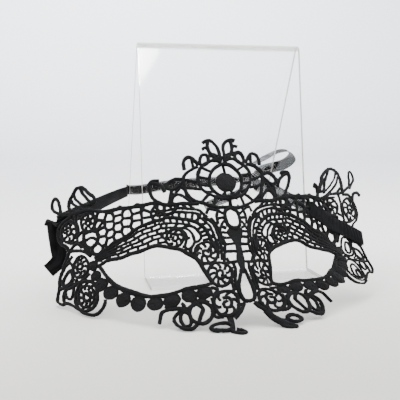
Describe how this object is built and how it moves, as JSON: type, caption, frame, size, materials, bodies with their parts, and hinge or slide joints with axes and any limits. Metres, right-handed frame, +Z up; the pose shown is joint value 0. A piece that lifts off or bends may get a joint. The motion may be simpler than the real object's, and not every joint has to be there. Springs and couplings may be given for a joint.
{
  "type": "lace masquerade mask on a clear display stand",
  "caption": "Black cord-lace eye mask with a pierced crest, tied by satin ribbons in a half bow round a clear bent-sheet easel stand.",
  "frame": {"origin": "on the table, under the middle of the stand's ledge", "axes": "+X to the viewer's right, +Y away from the viewer, +Z up from the table"},
  "size_m": [0.2171, 0.268, 0.174],
  "materials": {
    "lace": "matte black rayon cord lace",
    "satin": "black satin ribbon with a soft sheen",
    "clear_sheet": "clear polished acrylic sheet"
  },
  "bodies": {
    "root": {"lace_mask": "lace", "ribbon_left": "satin", "ribbon_right": "satin", "bow_knot": "satin", "bow_loop": "satin", "bow_tail": "satin", "display_stand": "clear_sheet"}
  },
  "joints": []
}
